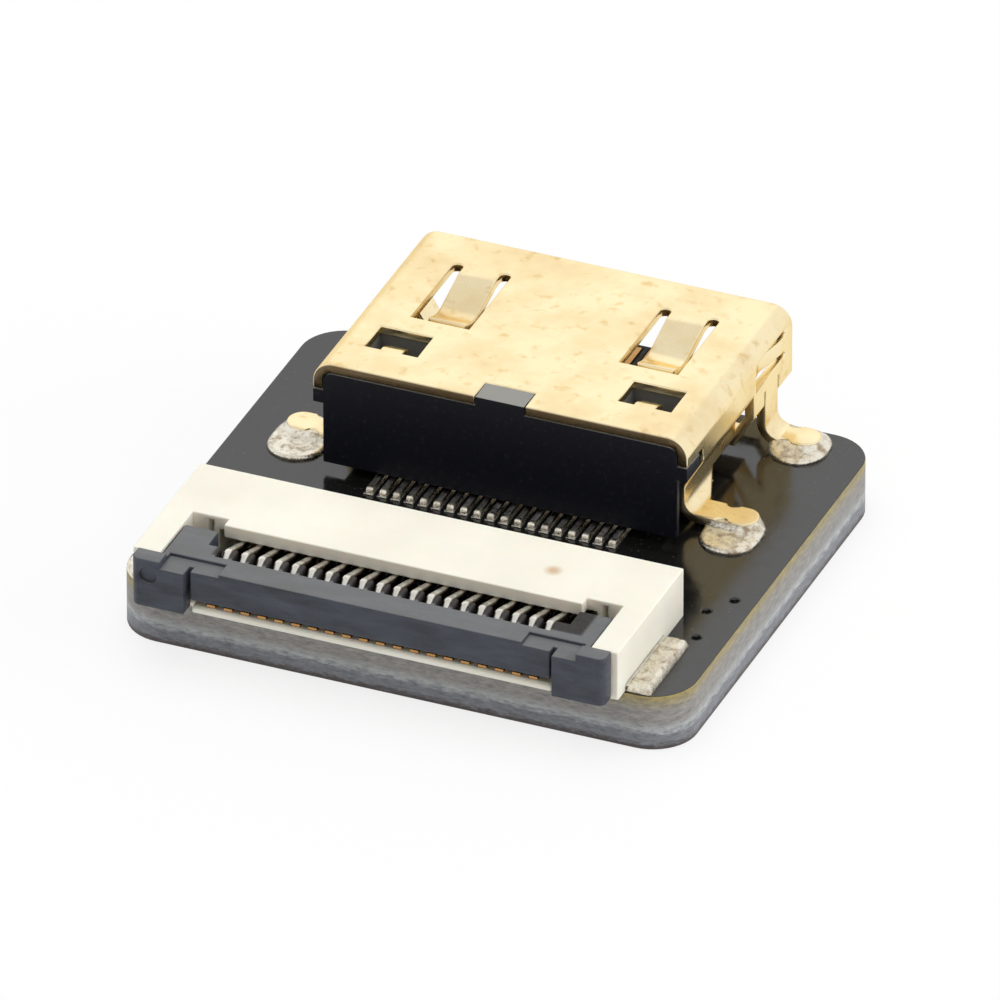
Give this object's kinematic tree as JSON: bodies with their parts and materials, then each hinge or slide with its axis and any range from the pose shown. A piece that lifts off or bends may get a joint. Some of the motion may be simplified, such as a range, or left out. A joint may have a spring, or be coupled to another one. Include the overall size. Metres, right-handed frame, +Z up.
{
  "type": "hdmi socket",
  "caption": "Small adapter board with a gold-plated mini HDMI socket at one edge and a ribbon-cable connector with a sliding lock at the other.",
  "frame": {"origin": "middle of the board's underside", "axes": "+X along the board's width to the right as seen from the ribbon connector, +Y towards the socket's mouth, +Z up from the board"},
  "size_m": [0.0168, 0.0161, 0.0052],
  "materials": {
    "board_mask": "glossy black solder mask on glass epoxy",
    "gold_sheet": "gold plated, satin",
    "black_moulding": "satin black",
    "white_moulding": "satin off-white",
    "dark_moulding": "satin slate grey",
    "gold_strip": "thin gold plating, tinned tails",
    "spring_strip": "tin plated spring strip",
    "tin": "tinned",
    "solder": "bright solder"
  },
  "bodies": {
    "adapter": {"board": "board_mask", "socket_shell": "gold_sheet", "socket_insulator": "black_moulding", "socket_pads": "tin", "foot_solder_rear_left": "solder", "foot_solder_rear_right": "solder", "foot_solder_front_left": "solder", "foot_solder_front_right": "solder", "socket_contact_01": "gold_strip", "socket_contact_02": "gold_strip", "socket_contact_03": "gold_strip", "socket_contact_04": "gold_strip", "socket_contact_05": "gold_strip", "socket_contact_06": "gold_strip", "socket_contact_07": "gold_strip", "socket_contact_08": "gold_strip", "socket_contact_09": "gold_strip", "socket_contact_10": "gold_strip", "socket_contact_11": "gold_strip", "socket_contact_12": "gold_strip", "socket_contact_13": "gold_strip", "socket_contact_14": "gold_strip", "socket_contact_15": "gold_strip", "socket_contact_16": "gold_strip", "socket_contact_17": "gold_strip", "socket_contact_18": "gold_strip", "socket_contact_19": "gold_strip", "ribbon_housing": "white_moulding", "ribbon_pads": "tin", "ribbon_anchor_left": "tin", "ribbon_anchor_right": "tin", "anchor_solder": "solder", "ribbon_contact_01": "spring_strip", "ribbon_contact_02": "spring_strip", "ribbon_contact_03": "spring_strip", "ribbon_contact_04": "spring_strip", "ribbon_contact_05": "spring_strip", "ribbon_contact_06": "spring_strip", "ribbon_contact_07": "spring_strip", "ribbon_contact_08": "spring_strip", "ribbon_contact_09": "spring_strip", "ribbon_contact_10": "spring_strip", "ribbon_contact_11": "spring_strip", "ribbon_contact_12": "spring_strip", "ribbon_contact_13": "spring_strip", "ribbon_contact_14": "spring_strip", "ribbon_contact_15": "spring_strip", "ribbon_contact_16": "spring_strip", "ribbon_contact_17": "spring_strip", "ribbon_contact_18": "spring_strip", "ribbon_contact_19": "spring_strip", "ribbon_contact_20": "spring_strip"},
    "slider": {"ribbon_slider": "dark_moulding"}
  },
  "joints": [
    {"name": "ribbon_lock", "type": "slide", "parent": "adapter", "child": "slider", "axis": [0, -1, 0], "range_m": [0, 0.001]}
  ]
}
